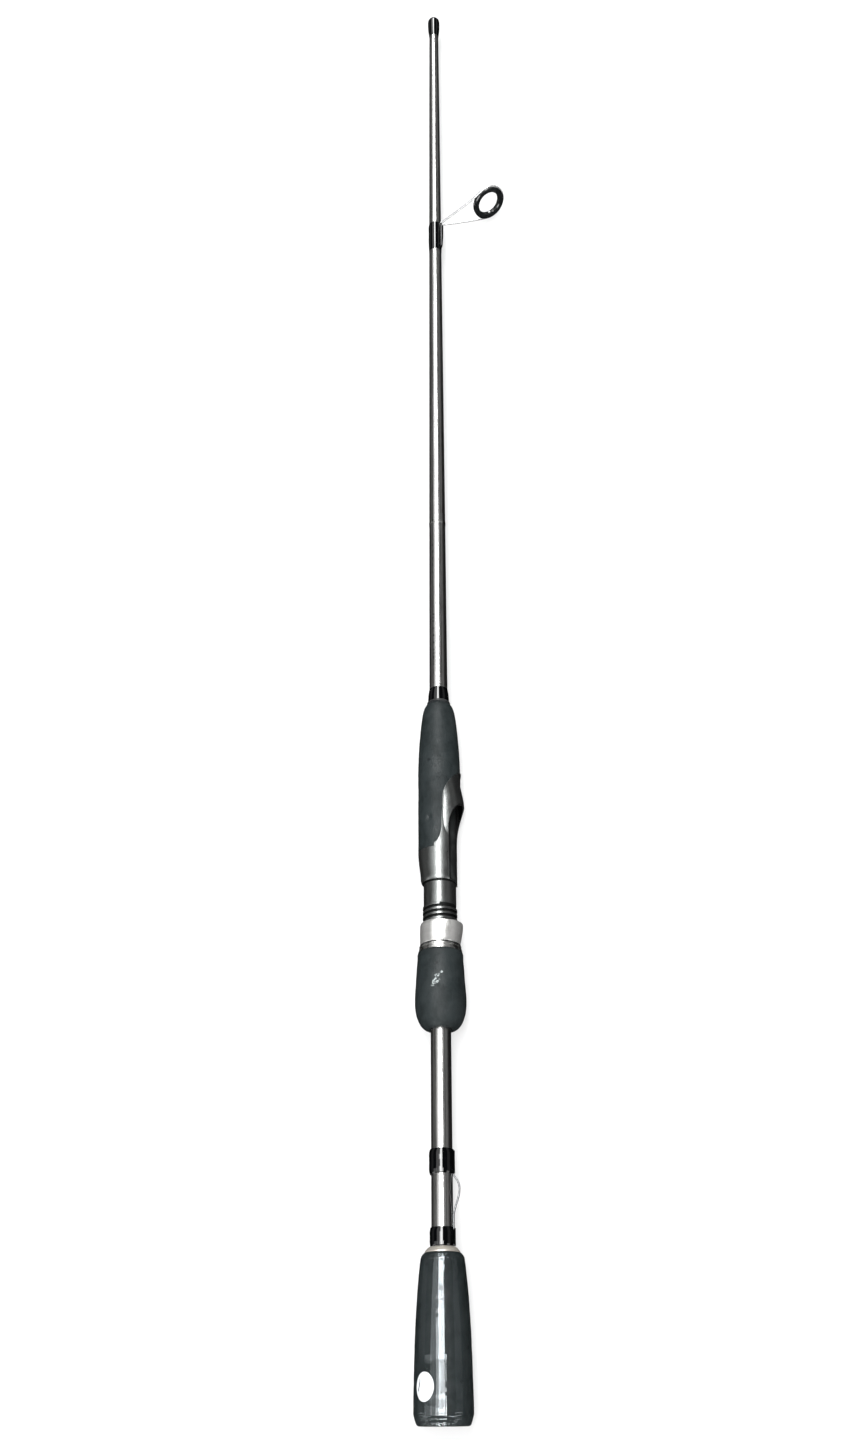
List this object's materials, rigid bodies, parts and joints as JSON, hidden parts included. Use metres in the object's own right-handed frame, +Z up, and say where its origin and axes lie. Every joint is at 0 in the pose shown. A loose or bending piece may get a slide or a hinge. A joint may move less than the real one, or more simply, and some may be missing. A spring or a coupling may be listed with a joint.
{
  "type": "fishing rod handle section",
  "caption": "Handle half of a two-piece spinning rod: tapered tube, foam grips, screw-down reel seat, hook keeper and one line guide.",
  "frame": {"origin": "centre of the butt's flat end face, on the rod's axis", "axes": "+X along the rod's axis from butt to tip, +Z up with the rod lying on its side, and the reel and guide side faces -Y"},
  "size_m": [1.04, 0.0674, 0.0292],
  "materials": {
    "graphite_blank": "satin grey graphite",
    "plug_foam": "matte",
    "wrap_black": "black thread under clear gloss resin",
    "trim_silver": "silver paint",
    "film_clear": "clear glossy shrink film",
    "eva_foam": "dark charcoal closed-cell foam",
    "check_champagne": "satin champagne",
    "check_black": "satin black",
    "sticker_white": "matte white",
    "steel_wire": "polished",
    "seat_silver": "silver-grey metallic",
    "saddle_black": "satin black",
    "arbor_grey": "matte",
    "liner_black": "satin black",
    "hood_steel": "polished",
    "nut_black": "satin black",
    "collar_metal": "bright",
    "ring_black": "polished black oxide",
    "frame_steel": "polished"
  },
  "bodies": {
    "rod": {"blank_tube": "graphite_blank", "blank_butt_plug": "plug_foam", "ferrule_wrap": "wrap_black", "trim_band": "trim_silver", "butt_grip_film": "film_clear", "butt_grip": "eva_foam", "butt_winding_check": "check_champagne", "round_sticker": "sticker_white", "hook_keeper": "steel_wire", "keeper_wrap_rear": "wrap_black", "keeper_wrap_front": "wrap_black", "reel_seat_body": "seat_silver", "seat_saddle": "saddle_black", "seat_arbor_rear": "arbor_grey", "seat_arbor_middle": "arbor_grey", "seat_arbor_front": "arbor_grey", "fore_grip": "eva_foam", "fore_grip_check": "check_black", "fore_grip_wrap": "wrap_black", "guide_ring": "ring_black", "guide_frame": "frame_steel", "guide_wrap": "wrap_black"},
    "hood": {"sliding_hood_liner": "liner_black", "sliding_hood_sleeve": "hood_steel"},
    "locknut": {"locknut_core": "nut_black", "locknut_collar": "collar_metal", "locknut_washer": "liner_black", "rear_grip": "eva_foam"}
  },
  "joints": [
    {"name": "hood_slide", "type": "slide", "parent": "rod", "child": "hood", "axis": [1, 0, 0], "range_m": [0, 0.018]},
    {"name": "nut_turn", "type": "hinge", "parent": "hood", "child": "locknut", "pos_m": [0.21, 0, 0], "axis": [1, 0, 0], "range_deg": [0, 2314.29]}
  ],
  "couplings": [
    {"joint": "nut_turn", "follows": "hood_slide", "rad_per_m": 2244}
  ]
}
